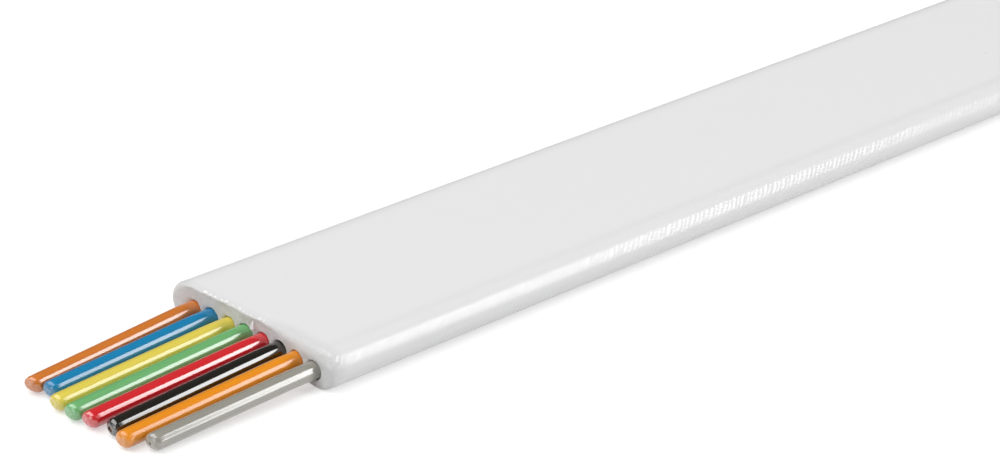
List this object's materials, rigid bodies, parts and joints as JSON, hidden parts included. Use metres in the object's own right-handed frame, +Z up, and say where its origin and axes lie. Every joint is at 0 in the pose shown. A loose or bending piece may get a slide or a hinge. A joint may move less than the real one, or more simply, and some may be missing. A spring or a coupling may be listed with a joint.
{
  "type": "flat modular cable",
  "caption": "Straight length of white flat modular cable with one end stripped to a level row of colour-coded insulated wires, ready for a modular plug.",
  "frame": {"origin": "on the surface that the cable lies on, under the middle of its length and width", "axes": "+X along the cable from the stripped wire tips to the plain cut end, +Y across it from the grey wire to the brown wire, +Z up from the flat underside"},
  "size_m": [0.0662, 0.0094, 0.0016],
  "materials": {
    "jacket_white_pvc": "extruded, smooth gloss",
    "insulation_brown": "extruded, smooth gloss",
    "insulation_blue": "extruded, smooth gloss",
    "insulation_yellow": "extruded, smooth gloss",
    "insulation_green": "extruded, smooth gloss",
    "insulation_red": "extruded, smooth gloss",
    "insulation_black": "extruded, smooth gloss",
    "insulation_orange": "extruded, smooth gloss",
    "insulation_grey": "extruded, smooth gloss",
    "copper_strand": "drawn bare copper"
  },
  "bodies": {
    "root": {"outer_jacket": "jacket_white_pvc", "brown_insulation": "insulation_brown", "brown_strands": "copper_strand", "blue_insulation": "insulation_blue", "blue_strands": "copper_strand", "yellow_insulation": "insulation_yellow", "yellow_strands": "copper_strand", "green_insulation": "insulation_green", "green_strands": "copper_strand", "red_insulation": "insulation_red", "red_strands": "copper_strand", "black_insulation": "insulation_black", "black_strands": "copper_strand", "orange_insulation": "insulation_orange", "orange_strands": "copper_strand", "grey_insulation": "insulation_grey", "grey_strands": "copper_strand"}
  },
  "joints": []
}
